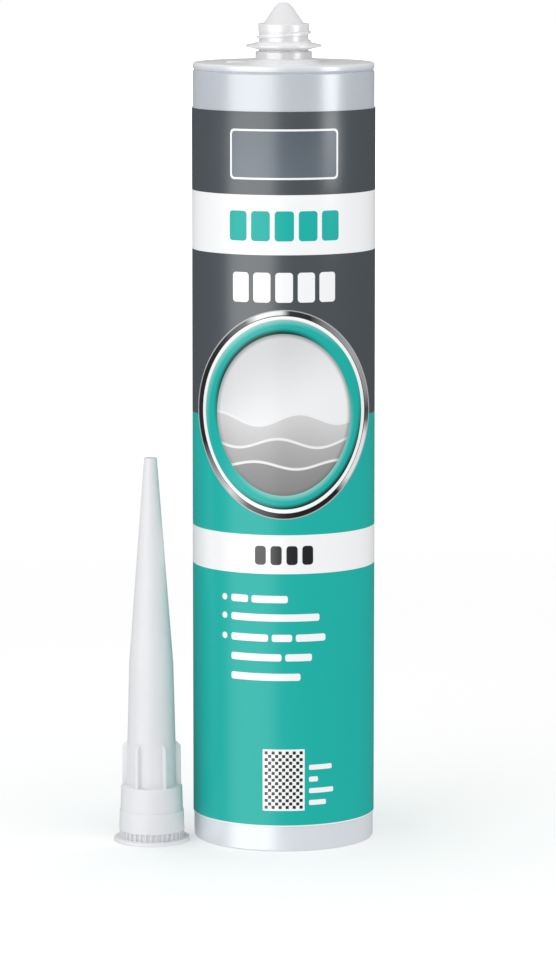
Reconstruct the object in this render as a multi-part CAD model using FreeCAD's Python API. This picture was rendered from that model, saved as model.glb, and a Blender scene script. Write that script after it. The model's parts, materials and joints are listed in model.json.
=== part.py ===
# A 310 ml sealant cartridge that stands on its open end, with its screw-on nozzle taken off beside it.
# The origin is the centre of the open end, on the surface that the cartridge stands on.
# +Z runs up the barrel towards the neck, and the front of the label faces -Y. Millimetres.
import FreeCAD, Part
import math
import os

# Barrel: one moulding of tube, rim, shoulder, neck, collar and closed tip
barrel_height = 215.0        # open end to the top of the shoulder
barrel_diameter = 49.8
barrel_wall = 1.5
shoulder_thickness = 1.8
mouth_depth = 1.6            # bevel inside the open end, which leads the plunger in
mouth_bevel = 0.5            # on the radius
foot_chamfer = 0.4
rim_height = 1.7             # rim between the shoulder and the notch below it
rim_chamfer = 0.6
notch_width = 0.7
notch_depth = 0.5

# Shoulder details
boss_diameter = 20.4
boss_height = 0.8
mark_reach = 6.2             # low moulded rib that runs out of the boss
mark_width = 0.8
mark_height = 0.45
mark_angle = 196.0           # degrees from +X, anticlockwise seen from above

# Neck, heights counted from the top of the shoulder
neck_height = 10.4
neck_core_diameter = 13.6
neck_band_diameter = 14.0
neck_band_height = 2.1
neck_foot_diameter = 15.5
neck_foot_height = 2.9
neck_bore_diameter = 9.2
collar_diameter = 20.8
collar_height = 4.4
collar_root = 2.2
collar_edge = 0.5

# Thread on the neck, and in the nozzle's socket
thread_diameter = 15.0
thread_pitch = 2.5
thread_ridge = 1.1           # width of a ridge at its foot
thread_crest = 0.5
thread_bite = 0.15           # how deep a ridge's foot sits in the wall that carries it
thread_clearance = 0.25      # between neck and socket, on the radius

# Closed tip, which is cut off before use
tip_diameter = 11.0
tip_height = 5.6
tip_apex_diameter = 5.0
tip_wall = 1.1

# Plunger
plunger_length = 20.0
plunger_recess = 12.0        # open end of the barrel to the plunger's rear edge
plunger_wall = 1.3
plunger_face = 1.8
plunger_lip = 2.6
plunger_relief = 0.7         # how far the body stands back from its two lips
plunger_clearance = 0.05     # between the lips and the bore, on the radius
gusset_count = 8
gusset_size = 3.5
gusset_thickness = 1.2

# Label, wrapped round the barrel with its seam at the back
label_thickness = 0.25
label_glue = 0.05            # between the barrel and the film
label_foot = 7.0             # bare barrel below the label
label_head = 12.3            # bare barrel above the label, up to the shoulder
label_seam = 0.8

# Nozzle, heights counted from the face of its flange
nozzle_length = 107.0
flange_diameter = 21.0
flange_thickness = 1.1
grip_height = 1.9            # ring of fine fins under the flange
grip_core_diameter = 16.8
fin_count = 36
fin_thickness = 0.45
skirt_diameter = 18.1
skirt_step_height = 8.8
skirt_step = 0.2
skirt_taper = 0.2            # loss of radius over each of the skirt's two stretches
skirt_height = 15.7
wing_count = 6
wing_thickness = 0.8
wing_diameter = 16.4
wing_taper = 0.15
wing_height = 26.7
wing_chamfer = 1.4
cone_foot_diameter = 13.6
cone_waist_height = 49.5
cone_waist_diameter = 12.2
nozzle_tip_diameter = 3.5
nozzle_tip_bore = 1.9
nozzle_tip_land = 3.0        # straight end of the tip's bore
nozzle_wall = 1.1
socket_depth = 12.0
socket_thread_margin = 1.0   # plain socket before and after its thread

# Where the loose nozzle stands, on the same surface as the barrel
stand_gap = 2.0
stand_angle = 194.0          # degrees from +X, anticlockwise seen from above

# Sizes that follow from those above
barrel_radius = barrel_diameter / 2
bore_radius = barrel_radius - barrel_wall
bore_top = barrel_height - shoulder_thickness
collar_top = collar_height + collar_root / 2
plunger_top = plunger_recess + plunger_length
label_inner_radius = barrel_radius + label_glue
label_radius = label_inner_radius + label_thickness
label_top = barrel_height - label_head
socket_radius = thread_diameter / 2 + thread_clearance
socket_ridge_radius = neck_core_diameter / 2 + thread_clearance


def turned(points):
    """Solid of revolution about Z from (radius, height) points in order."""
    corners = [FreeCAD.Vector(radius, 0, height) for radius, height in points]
    face = Part.Face(Part.makePolygon(corners + corners[:1]))
    return face.revolve(FreeCAD.Vector(0, 0, 0), FreeCAD.Vector(0, 0, 1), 360)


def column(radius, low, high):
    """Upright cylinder on the Z axis between two heights."""
    return Part.makeCylinder(radius, high - low, FreeCAD.Vector(0, 0, low))


def around(shape, count):
    """The shape and its copies, evenly spaced about Z."""
    copies = []
    for number in range(count):
        copy = shape.copy()
        copy.rotate(FreeCAD.Vector(0, 0, 0), FreeCAD.Vector(0, 0, 1), 360 * number / count)
        copies.append(copy)
    return copies


def plate(outline, thickness):
    """Upright plate through the Z axis: an outline of (radius, height) given a thickness across Y."""
    corners = [FreeCAD.Vector(radius, -thickness / 2, height) for radius, height in outline]
    face = Part.Face(Part.makePolygon(corners + corners[:1]))
    return face.extrude(FreeCAD.Vector(0, thickness, 0))


def thread(wall_radius, crest_radius, low, high):
    """Helical ridge on a round wall, between the heights of its first and last foot edge."""
    outward = 1 if crest_radius > wall_radius else -1
    foot_radius = wall_radius - outward * thread_bite
    middle = low + thread_ridge / 2
    profile = [
        (foot_radius, middle - thread_ridge / 2),
        (crest_radius, middle - thread_crest / 2),
        (crest_radius, middle + thread_crest / 2),
        (foot_radius, middle + thread_ridge / 2),
    ]
    corners = [FreeCAD.Vector(radius, 0, height) for radius, height in profile]
    section = Part.makePolygon(corners + corners[:1])
    path = Part.makeHelix(thread_pitch, high - low - thread_ridge, wall_radius)
    path.translate(FreeCAD.Vector(0, 0, middle))
    ridge = Part.Wire(path.Edges).makePipeShell([section], True, True)
    if ridge.Volume < 0:
        ridge.reverse()
    return ridge


def barrel_skin():
    """Tube, rim and shoulder, open at the foot."""
    notch_low = barrel_height - rim_height - notch_width
    notch_middle = barrel_height - rim_height - notch_width / 2
    return turned([
        (bore_radius + mouth_bevel, 0),
        (barrel_radius - foot_chamfer, 0),
        (barrel_radius, foot_chamfer),
        (barrel_radius, notch_low),
        (barrel_radius - notch_depth, notch_middle),
        (barrel_radius, barrel_height - rim_height),
        (barrel_radius, barrel_height - rim_chamfer),
        (barrel_radius - rim_chamfer, barrel_height),
        (neck_bore_diameter / 2, barrel_height),
        (neck_bore_diameter / 2, bore_top),
        (bore_radius, bore_top),
        (bore_radius, mouth_depth),
    ])


def neck():
    """Boss, neck, collar, plain band and closed tip, hollow inside."""
    base = barrel_height
    bore = neck_bore_diameter / 2
    core = neck_core_diameter / 2
    tip_foot = tip_diameter / 2
    apex = tip_apex_diameter / 2
    neck_top = base + neck_height
    tip_top = neck_top + tip_height
    return turned([
        (bore, base),
        (boss_diameter / 2, base),
        (boss_diameter / 2 - boss_height, base + boss_height),
        (neck_foot_diameter / 2, base + boss_height),
        (neck_foot_diameter / 2, base + neck_foot_height),
        (core, base + neck_foot_height),
        (core, base + collar_height - collar_root / 2),
        (collar_diameter / 2, base + collar_height - collar_edge / 2),
        (collar_diameter / 2, base + collar_height + collar_edge / 2),
        (core, base + collar_top),
        (core, neck_top - neck_band_height),
        (neck_band_diameter / 2, neck_top - neck_band_height),
        (neck_band_diameter / 2, neck_top),
        (tip_foot, neck_top),
        (apex, tip_top - apex / 2),
        (apex / 2, tip_top),
        (0, tip_top),
        (0, tip_top - tip_wall),
        (apex - tip_wall, tip_top - apex / 2 - tip_wall / 2),
        (bore, neck_top - tip_wall),
    ])


def shoulder_mark():
    """Low rib on the shoulder that runs outwards from the boss."""
    start = boss_diameter / 2 - boss_height
    end = boss_diameter / 2 + mark_reach
    rib = plate(
        [
            (start, barrel_height - shoulder_thickness / 2),
            (end, barrel_height - shoulder_thickness / 2),
            (end, barrel_height),
            (end - mark_height, barrel_height + mark_height),
            (start, barrel_height + mark_height),
        ],
        mark_width,
    )
    rib.rotate(FreeCAD.Vector(0, 0, 0), FreeCAD.Vector(0, 0, 1), mark_angle)
    return rib


def make_barrel():
    ridge = thread(
        neck_core_diameter / 2,
        thread_diameter / 2,
        barrel_height + collar_top - thread_ridge / 2,
        barrel_height + neck_height - neck_band_height,
    )
    return barrel_skin().fuse([neck(), ridge, shoulder_mark()]).removeSplitter()


def make_plunger():
    lip = bore_radius - plunger_clearance
    body = lip - plunger_relief
    cup = body - plunger_wall
    rear = plunger_recess
    front = plunger_top
    shell = turned([
        (cup, rear),
        (lip, rear),
        (lip, rear + plunger_lip),
        (body, rear + plunger_lip + plunger_relief),
        (body, front - plunger_lip - plunger_relief),
        (lip, front - plunger_lip),
        (lip, front),
        (0, front),
        (0, front - plunger_face),
        (cup, front - plunger_face),
    ])
    inner_face = front - plunger_face
    gusset = plate(
        [
            (cup - gusset_size, inner_face),
            (cup, inner_face - gusset_size),
            (cup + plunger_wall / 2, inner_face - gusset_size),
            (cup + plunger_wall / 2, inner_face + plunger_face / 2),
            (cup - gusset_size, inner_face + plunger_face / 2),
        ],
        gusset_thickness,
    )
    return shell.fuse(around(gusset, gusset_count)).removeSplitter()


def make_sealant():
    return column(bore_radius, plunger_top, bore_top)


def make_label():
    outside = column(label_radius, label_foot, label_top)
    sleeve = outside.cut(column(label_inner_radius, label_foot, label_top))
    seam = Part.makeBox(
        label_seam,
        barrel_radius,
        label_top - label_foot,
        FreeCAD.Vector(-label_seam / 2, barrel_radius / 2, label_foot),
    )
    return sleeve.cut(seam)


def nozzle_shell():
    """Flange, skirt and cone with the socket and the passage through them."""
    skirt = skirt_diameter / 2
    stepped = skirt - skirt_taper - skirt_step
    grip_top = flange_thickness + grip_height
    cone_foot = cone_foot_diameter / 2
    waist = cone_waist_diameter / 2
    wing_top = wing_height + wing_chamfer
    tip = nozzle_tip_diameter / 2
    tip_bore = nozzle_tip_bore / 2
    return turned([
        (socket_radius, 0),
        (flange_diameter / 2, 0),
        (flange_diameter / 2, flange_thickness),
        (grip_core_diameter / 2, flange_thickness),
        (grip_core_diameter / 2, grip_top),
        (skirt, grip_top),
        (skirt - skirt_taper, skirt_step_height),
        (stepped, skirt_step_height),
        (stepped - skirt_taper, skirt_height),
        (cone_foot, skirt_height),
        (cone_foot - wing_taper, wing_top),
        (waist, cone_waist_height),
        (tip, nozzle_length),
        (tip_bore, nozzle_length),
        (tip_bore, nozzle_length - nozzle_tip_land),
        (waist - nozzle_wall, cone_waist_height),
        (cone_foot - nozzle_wall, socket_depth),
        (socket_radius, socket_depth),
    ])


def nozzle_fins():
    """Fine upright fins between the flange and the skirt."""
    fin = plate(
        [
            (grip_core_diameter / 2 - fin_thickness, flange_thickness),
            (skirt_diameter / 2, flange_thickness),
            (skirt_diameter / 2, flange_thickness + grip_height),
            (grip_core_diameter / 2 - fin_thickness, flange_thickness + grip_height),
        ],
        fin_thickness,
    )
    return around(fin, fin_count)


def nozzle_wings():
    """Upright wings that a hand turns the nozzle by."""
    root = cone_foot_diameter / 2 - wing_taper - nozzle_wall / 2
    reach = wing_diameter / 2
    wing = plate(
        [
            (root, skirt_height),
            (reach, skirt_height),
            (reach - wing_taper, wing_height),
            (cone_foot_diameter / 2 - wing_taper, wing_height + wing_chamfer),
            (root, wing_height + wing_chamfer),
        ],
        wing_thickness,
    )
    return around(wing, wing_count)


def make_nozzle():
    ridge = thread(
        socket_radius,
        socket_ridge_radius,
        socket_thread_margin,
        socket_depth - socket_thread_margin,
    )
    nozzle = nozzle_shell().fuse([ridge] + nozzle_fins() + nozzle_wings()).removeSplitter()
    reach = label_radius + stand_gap + flange_diameter / 2
    angle = math.radians(stand_angle)
    nozzle.translate(FreeCAD.Vector(reach * math.cos(angle), reach * math.sin(angle), 0))
    return nozzle


makers = {
    "barrel": make_barrel,
    "plunger": make_plunger,
    "sealant": make_sealant,
    "label": make_label,
    "nozzle": make_nozzle,
}

os.makedirs("parts", exist_ok=True)
for name, make in makers.items():
    shape = make()
    print(name, "solids", len(shape.Solids), "valid", shape.isValid(), "volume", round(shape.Volume))
    shape.exportStep(f"parts/{name}.step")
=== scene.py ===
import json
import math

import bmesh
import bpy
from mathutils import Matrix, Vector

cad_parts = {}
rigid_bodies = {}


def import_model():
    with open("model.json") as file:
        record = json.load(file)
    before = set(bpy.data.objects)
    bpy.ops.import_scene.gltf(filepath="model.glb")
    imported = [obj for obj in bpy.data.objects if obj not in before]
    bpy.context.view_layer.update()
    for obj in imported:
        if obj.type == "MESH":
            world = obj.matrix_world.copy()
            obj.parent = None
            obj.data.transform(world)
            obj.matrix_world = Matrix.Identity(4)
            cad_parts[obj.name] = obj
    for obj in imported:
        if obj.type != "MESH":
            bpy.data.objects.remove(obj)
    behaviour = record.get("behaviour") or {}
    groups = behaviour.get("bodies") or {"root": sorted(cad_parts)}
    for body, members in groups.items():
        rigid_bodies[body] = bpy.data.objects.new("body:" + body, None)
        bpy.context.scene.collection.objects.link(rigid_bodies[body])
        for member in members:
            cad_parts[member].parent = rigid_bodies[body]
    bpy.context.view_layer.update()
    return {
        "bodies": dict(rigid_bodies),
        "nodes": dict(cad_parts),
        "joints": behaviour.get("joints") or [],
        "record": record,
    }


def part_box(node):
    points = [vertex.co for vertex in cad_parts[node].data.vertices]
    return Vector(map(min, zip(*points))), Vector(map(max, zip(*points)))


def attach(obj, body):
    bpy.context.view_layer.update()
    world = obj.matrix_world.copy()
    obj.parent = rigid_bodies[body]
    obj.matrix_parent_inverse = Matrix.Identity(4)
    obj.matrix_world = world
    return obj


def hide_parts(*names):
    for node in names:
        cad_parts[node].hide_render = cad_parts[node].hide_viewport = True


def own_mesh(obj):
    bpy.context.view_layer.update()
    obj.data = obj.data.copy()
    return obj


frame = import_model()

bl_info = {
    "name": "Sealant cartridge",
    "version": (1, 0, 0),
    "blender": (4, 5, 0),
    "location": "3D View > Sidebar > Cartridge",
    "description": "Builds a sealant cartridge, its label and its loose nozzle round a packed model",
    "category": "Object",
}

MM = 0.001
FILM_RELIEF = 1.5e-5
FILM_IOR = 1.6
BARREL_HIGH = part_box("barrel")[1]
LABEL_LOW, LABEL_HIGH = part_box("label")
PLUNGER_LOW, PLUNGER_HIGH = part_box("plunger")
SEALANT_LOW, SEALANT_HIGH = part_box("sealant")
NOZZLE_LOW, NOZZLE_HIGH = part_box("nozzle")
NOZZLE_AXIS = (NOZZLE_LOW + NOZZLE_HIGH) / 2


# Property helpers

def length(name, description, millimetres):
    """Length property whose default is given in millimetres."""
    return bpy.props.FloatProperty(
        name=name,
        description=description,
        default=millimetres * MM,
        min=0.0,
        precision=5,
        subtype="DISTANCE",
        unit="LENGTH",
    )


def height(name, description, millimetres):
    """Place property that may lie on either side of zero, its default in millimetres."""
    return bpy.props.FloatProperty(
        name=name,
        description=description,
        default=millimetres * MM,
        precision=5,
        subtype="DISTANCE",
        unit="LENGTH",
    )


def turn(name, description, degrees):
    """Angle property whose default is given in degrees."""
    return bpy.props.FloatProperty(
        name=name,
        description=description,
        default=math.radians(degrees),
        subtype="ANGLE",
        unit="ROTATION",
    )


def share(name, description, default, highest=1.0):
    """Plain number from nought up to a highest value."""
    return bpy.props.FloatProperty(
        name=name, description=description, default=default, min=0.0, max=highest, subtype="FACTOR"
    )


def count(name, description, default):
    """Whole number of like things."""
    return bpy.props.IntProperty(name=name, description=description, default=default, min=1)


def linear(level):
    """Linear light of one screen level from 0 to 255."""
    level = level / 255
    return level / 12.92 if level <= 0.04045 else ((level + 0.055) / 1.055) ** 2.4


def colour(name, description, red, green, blue):
    """Colour property whose default is given in screen levels from 0 to 255."""
    return bpy.props.FloatVectorProperty(
        name=name,
        description=description,
        default=(linear(red), linear(green), linear(blue), 1.0),
        size=4,
        min=0.0,
        max=1.0,
        subtype="COLOR",
    )


# Sizes and finishes that a user may change

class CartridgeBarrelSizes(bpy.types.PropertyGroup):
    """Sizes of the barrel, its shoulder and its neck"""

    radius: length("Radius", "Outside radius of the tube", BARREL_HIGH.x / MM)
    height: length("Height", "Open end to the top of the shoulder", 215.0)
    wall: length("Wall", "Thickness of the tube's wall", 1.5)
    shoulder: length("Shoulder", "Thickness of the shoulder", 1.8)
    mouth_depth: length("Mouth depth", "Depth of the bevel inside the open end", 1.6)
    mouth_bevel: length("Mouth bevel", "Width of the bevel inside the open end", 0.5)
    rim_height: length("Rim height", "Rim between the shoulder and the groove under it", 1.7)
    groove_width: length("Groove width", "Width of the groove under the rim", 0.7)
    groove_depth: length("Groove depth", "Depth of the groove under the rim", 0.5)
    boss_radius: length("Boss radius", "Radius of the low boss round the neck", 10.2)
    boss_height: length("Boss height", "Height of the low boss round the neck", 0.8)
    mark_reach: length("Mark reach", "How far the moulded rib runs out of the boss", 6.2)
    mark_width: length("Mark width", "Width of the moulded rib", 0.8)
    mark_height: length("Mark height", "Height of the moulded rib", 0.45)
    mark_turn: turn("Mark direction", "Direction of the moulded rib, from +X", 196.0)
    neck_height: length("Neck height", "Shoulder to the top of the neck's plain band", 10.4)
    neck_radius: length("Neck radius", "Radius of the neck's core", 6.8)
    neck_bore: length("Neck bore", "Radius of the passage in the neck", 4.6)
    band_radius: length("Band radius", "Radius of the neck's plain band", 7.0)
    band_height: length("Band height", "Height of the neck's plain band", 2.1)
    foot_radius: length("Neck foot radius", "Radius of the neck's foot", 7.75)
    foot_height: length("Neck foot height", "Shoulder to the top of the neck's foot", 2.9)
    collar_radius: length("Collar radius", "Radius of the thin disc on the neck", 10.4)
    collar_height: length("Collar height", "Shoulder to the middle of the thin disc", 4.4)
    collar_root: length("Collar root", "Thickness of the disc at the neck", 2.2)
    collar_edge: length("Collar edge", "Thickness of the disc at its edge", 0.5)
    tip_radius: length("Tip radius", "Radius at the foot of the closed tip", 5.5)
    tip_height: length("Tip height", "Height of the closed tip", 5.6)
    tip_apex: length("Tip apex", "Radius near the top of the closed tip", 2.5)
    tip_wall: length("Tip wall", "Thickness of the closed tip", 1.1)


class CartridgeThreadSizes(bpy.types.PropertyGroup):
    """Sizes of the screw thread on the neck and in the nozzle"""

    pitch: length("Pitch", "Rise of the thread in one turn", 2.5)
    ridge: length("Ridge", "Width of the ridge at its foot", 1.1)
    crest: length("Crest", "Width of the ridge at its top", 0.5)
    depth: length("Depth", "Height of the ridge over its wall", 0.7)
    bite: length("Bite", "How far the ridge's foot sits in its wall", 0.15)
    neck_turns: share("Turns on the neck", "Turns of the ridge on the neck", 1.5, 20)
    neck_start: turn("Neck start", "Direction where the neck's ridge starts, from +X", -137.0)
    socket_turns: share("Turns in the socket", "Turns of the ridge in the nozzle", 3.56, 20)


class CartridgePlungerSizes(bpy.types.PropertyGroup):
    """Sizes of the plunger"""

    lip_radius: length("Lip radius", "Radius of the two sealing lips", PLUNGER_HIGH.x / MM)
    lip_height: length("Lip height", "Height of each sealing lip", 2.6)
    relief: length("Relief", "How far the body stands back from its lips", 0.7)
    wall: length("Wall", "Thickness of the plunger's wall", 1.3)
    face: length("Face", "Thickness of the plunger's face", 1.8)
    gussets: count("Gussets", "Number of gussets inside the cup", 8)
    gusset_size: length("Gusset size", "Reach of each gusset", 3.5)
    gusset_thickness: length("Gusset thickness", "Thickness of each gusset", 1.2)


class CartridgeNozzleSizes(bpy.types.PropertyGroup):
    """Sizes of the loose nozzle, heights counted from the face of its flange"""

    height: length("Length", "Flange face to tip", NOZZLE_HIGH.z / MM)
    flange_radius: length("Flange radius", "Radius of the flange", 10.5)
    flange_thickness: length("Flange thickness", "Thickness of the flange", 1.1)
    grip_radius: length("Grip radius", "Radius between the fine fins", 8.4)
    grip_height: length("Grip height", "Height of the ring of fine fins", 1.9)
    fins: count("Fins", "Number of fine fins", 36)
    fin_thickness: length("Fin thickness", "Thickness of each fine fin", 0.45)
    skirt_radius: length("Skirt radius", "Radius of the skirt at its foot", 9.05)
    skirt_taper: length("Skirt taper", "Loss of radius over each stretch of the skirt", 0.2)
    skirt_step: length("Skirt step", "Small step round the skirt", 0.2)
    skirt_step_height: length("Skirt step height", "Height of the small step", 8.8)
    skirt_height: length("Skirt height", "Height of the skirt's top", 15.7)
    wings: count("Wings", "Number of upright wings", 6)
    wing_thickness: length("Wing thickness", "Thickness of each wing", 0.8)
    wing_radius: length("Wing radius", "Reach of each wing from the axis", 8.2)
    wing_taper: length("Wing taper", "Loss of reach over a wing's height", 0.15)
    wing_height: length("Wing height", "Height where the wings start to slope in", 26.7)
    wing_slope: length("Wing slope", "Height of the sloping top of a wing", 1.4)
    cone_radius: length("Cone radius", "Radius at the foot of the cone", 6.8)
    waist_height: length("Waist height", "Height where the cone grows steeper", 49.5)
    waist_radius: length("Waist radius", "Radius where the cone grows steeper", 6.1)
    tip_radius: length("Tip radius", "Outside radius of the tip", 1.75)
    tip_bore: length("Tip bore", "Radius of the tip's passage", 0.95)
    tip_land: length("Tip land", "Straight end of the tip's passage", 3.0)
    wall: length("Wall", "Thickness of the cone's wall", 1.1)
    socket_radius: length("Socket radius", "Radius of the threaded socket", 7.75)
    socket_depth: length("Socket depth", "Depth of the threaded socket", 12.0)
    socket_margin: length("Socket margin", "Plain socket before its thread", 1.0)


class CartridgeLabelSizes(bpy.types.PropertyGroup):
    """Layout of the label: heights above the floor, and widths along the film"""

    radius: length("Radius", "Outside radius of the label with its inks", LABEL_HIGH.x / MM)
    ink: length("Ink", "How far the inks stand on the film", 0.03)
    sink: length("Ink root", "How far an ink reaches into the film", 0.05)
    film: length("Film", "Thickness of the film", 0.2)
    seam: length("Seam", "Gap between the film's two ends, at the back", 0.8)
    list_band: length("Lower band", "Top of the lowest coloured band", 77.1)
    foot_band: length("Foot band", "Top of the narrow white band", 87.8)
    colour_change: length("Colour change", "Height where the colour gives way to grey", 119.2)
    grey_band: length("Grey band", "Top of the lower grey band", 164.1)
    name_band: length("White band", "Top of the broad white band", 180.3)
    film_margin: length("Film margin", "Unprinted strip along the label's foot", 0.35)
    emblem_height: length("Emblem height", "Height of the emblem's centre", 120.7)
    emblem_squeeze: share("Emblem squeeze", "Width of the emblem on its flat print, by its height", 0.832)
    emblem_seen: share("Emblem seen", "Width of the emblem seen from the front, by its height", 0.818)
    emblem_radius: length("Emblem radius", "Half the height of the emblem's dark rim", 28.6)
    emblem_line: length("Emblem line", "Half the height of the silver line", 26.9)
    emblem_ring: length("Emblem ring", "Half the height of the coloured ring", 25.85)
    emblem_disc: length("Emblem disc", "Half the height of the pale disc", 22.3)
    panel_height: length("Panel height", "Height of the framed panel's centre", 191.2)
    panel_width: length("Panel width", "Width of the framed panel", 31.0)
    panel_tall: length("Panel tallness", "Tallness of the framed panel", 13.6)
    panel_frame: length("Panel frame", "Width of the panel's white frame", 0.55)
    code_side: height("Code place", "Code panel's centre, from the middle of the front", 0.0)
    code_height: length("Code height", "Height of the code panel's centre", 20.0)
    code_width: length("Code width", "Width of the code panel", 11.6)
    code_tall: length("Code tallness", "Tallness of the code panel", 17.1)
    code_columns: count("Code columns", "Columns of cells on the code panel", 11)
    code_rows: count("Code rows", "Rows of cells on the code panel", 17)


class CartridgeFinishes(bpy.types.PropertyGroup):
    """Colours and gloss"""

    grey: colour("Grey", "Grey bands of the label", 71, 79, 85)
    teal: colour("Teal", "Coloured bands of the label", 0, 177, 167)
    white: colour("White", "White bands and white inks", 250, 251, 252)
    black: colour("Black", "Darkest ink", 28, 28, 32)
    panel: colour("Panel", "Field of the framed panel", 96, 108, 120)
    silver: colour("Silver", "Soft grey of the emblem", 176, 180, 184)
    barrel: colour("Barrel", "Plastic of the barrel's wall", 198, 205, 213)
    neck: colour("Neck", "Plastic of the barrel's rim, shoulder and neck", 240, 240, 242)
    # Foot: painted light. The open end is coloured lighter than the wall, standing in for light from the
    # floor below.
    foot: colour("Foot", "Plastic of the barrel's open end", 228, 234, 240)
    plunger: colour("Plunger", "Plastic of the plunger", 236, 236, 232)
    nozzle: colour("Nozzle", "Plastic of the nozzle", 226, 227, 230)
    sealant: colour("Sealant", "Filling of the barrel", 240, 240, 236)
    film_gloss: share("Film gloss", "Strength of reflections in the printed film", 0.9)
    teal_gloss: share("Teal gloss", "Strength of reflections in the teal inks", 0.3)
    emblem_gloss: share("Emblem gloss", "Strength of reflections in the emblem's rim", 0.6)
    film_roughness: share("Film roughness", "Roughness of the printed film", 0.3)
    barrel_roughness: share("Barrel roughness", "Roughness of the barrel", 0.3)
    nozzle_roughness: share("Nozzle roughness", "Roughness of the nozzle", 0.38)


class CartridgeStage(bpy.types.PropertyGroup):
    """Camera, lamps and floor"""

    camera_side: height("Camera side", "Camera's place across the view", -1.55)
    camera_back: height("Camera back", "Camera's distance in front of the axis", 1269.0)
    camera_height: length("Camera height", "Camera's height above the floor", 272.7)
    camera_pitch: turn("Camera pitch", "How far the camera looks down", 7.77)
    focal_length: bpy.props.FloatProperty(
        name="Focal length", description="Lens of the camera in millimetres", default=173.5, min=1.0
    )
    floor_radius: length("Floor radius", "Radius of the pale floor", 6000.0)
    key_power: share("Key power", "Watts of the soft lamp at the left", 0.9, 1000)
    top_power: share("Top power", "Watts of the soft lamp overhead", 0.8, 1000)
    sheen_power: share("Sheen power", "Watts of the tall panel that only reflections show", 6.0, 1000)
    strip_power: share("Strip power", "Watts of the small panel that only reflections show", 0.042, 1000)
    reflected: share("Reflected", "Strength of the surroundings in reflections", 0.1)
    ambient: share("Ambient", "Strength of the plain surroundings", 0.96, 10)


GROUPS = {
    "cartridge_barrel": CartridgeBarrelSizes,
    "cartridge_thread": CartridgeThreadSizes,
    "cartridge_plunger": CartridgePlungerSizes,
    "cartridge_nozzle": CartridgeNozzleSizes,
    "cartridge_label": CartridgeLabelSizes,
    "cartridge_finish": CartridgeFinishes,
    "cartridge_stage": CartridgeStage,
}


# Node helpers

def add(tree, kind, *values, **settings):
    """New node with its settings, and its inputs linked or set in order."""
    node = tree.nodes.new(kind)
    named = {}
    for key, value in settings.items():
        if hasattr(node, key):
            setattr(node, key, value)
        else:
            named[key] = value
    for socket, value in zip(node.inputs, values):
        feed(tree, socket, value)
    for identifier, value in named.items():
        feed(tree, next(s for s in node.inputs if s.identifier == identifier), value)
    return node


def feed(tree, socket, value):
    """Links a socket or a node into an input, or sets the input's value."""
    if value is None:
        return
    if isinstance(value, bpy.types.Node):
        value = value.outputs[0]
    if isinstance(value, bpy.types.NodeSocket):
        tree.links.new(value, socket)
    else:
        socket.default_value = value


def calc(tree, operation, *values, clamp=False):
    """Output of a Math node."""
    return add(tree, "ShaderNodeMath", *values, operation=operation, use_clamp=clamp).outputs[0]


def blend_colours(tree, factor, first, second, blend="MIX"):
    """Colour between two others."""
    node = add(
        tree,
        "ShaderNodeMix",
        data_type="RGBA",
        blend_type=blend,
        Factor_Float=factor,
        A_Color=first,
        B_Color=second,
    )
    return next(s for s in node.outputs if s.identifier == "Result_Color")


def ramp(tree, value, low, high, first=0.0, second=1.0, smooth=False):
    """Value that runs from first to second as the input runs from low to high."""
    kind = "SMOOTHSTEP" if smooth else "LINEAR"
    return add(
        tree, "ShaderNodeMapRange", value, low, high, first, second, interpolation_type=kind
    ).outputs[0]


def noise(tree, place, scale, detail, roughness):
    """Noise about a half, at a place."""
    return add(tree, "ShaderNodeTexNoise", place, None, scale, detail, roughness).outputs["Fac"]


def stretched(tree, place, *factors):
    """Place with each of its axes multiplied."""
    return add(tree, "ShaderNodeVectorMath", place, factors, operation="MULTIPLY")


def grey(tree, value):
    """Colour with one value in all its channels."""
    return add(tree, "ShaderNodeCombineColor", value, value, value).outputs[0]


def emptied(owner):
    """Node tree of a new material or world, with nothing in it."""
    owner.use_nodes = True
    owner.node_tree.nodes.clear()
    return owner.node_tree


def join(tree, values, out):
    """Links values to a group's outputs in order."""
    for value, socket in zip(values, out):
        feed(tree, socket, value)


def dress(tree, given, out, geometry):
    """Ends a geometry tree: the given material, then the output."""
    join(tree, [add(tree, "GeometryNodeSetMaterial", geometry, None, given["Material"])], out)


def new_tree(name, kind, inputs, outputs):
    """Node group with named inputs and outputs, and its two end nodes."""
    tree = bpy.data.node_groups.new(name, kind)
    for label, socket, default in inputs:
        made = tree.interface.new_socket(label, in_out="INPUT", socket_type="NodeSocket" + socket)
        if default is not None:
            made.default_value = default
    for label, socket in outputs:
        tree.interface.new_socket(label, in_out="OUTPUT", socket_type="NodeSocket" + socket)
    return tree, tree.nodes.new("NodeGroupInput").outputs, tree.nodes.new("NodeGroupOutput").inputs


# Geometry trees

def ring_tree():
    """Copies of the modified mesh, evenly spaced about the Z axis."""
    tree, given, out = new_tree(
        "Ring of copies",
        "GeometryNodeTree",
        [("Geometry", "Geometry", None), ("Count", "Int", 6), ("Material", "Material", None)],
        [("Geometry", "Geometry")],
    )
    points = add(tree, "GeometryNodePoints", given["Count"])
    number = add(tree, "GeometryNodeInputIndex")
    step = calc(tree, "DIVIDE", math.tau, given["Count"])
    angle = calc(tree, "MULTIPLY", number, step)
    rotation = add(tree, "ShaderNodeCombineXYZ", None, None, angle)
    copies = add(
        tree, "GeometryNodeInstanceOnPoints", points, None, given["Geometry"], None, None, rotation
    )
    dress(tree, given, out, add(tree, "GeometryNodeRealizeInstances", copies))
    return tree


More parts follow.
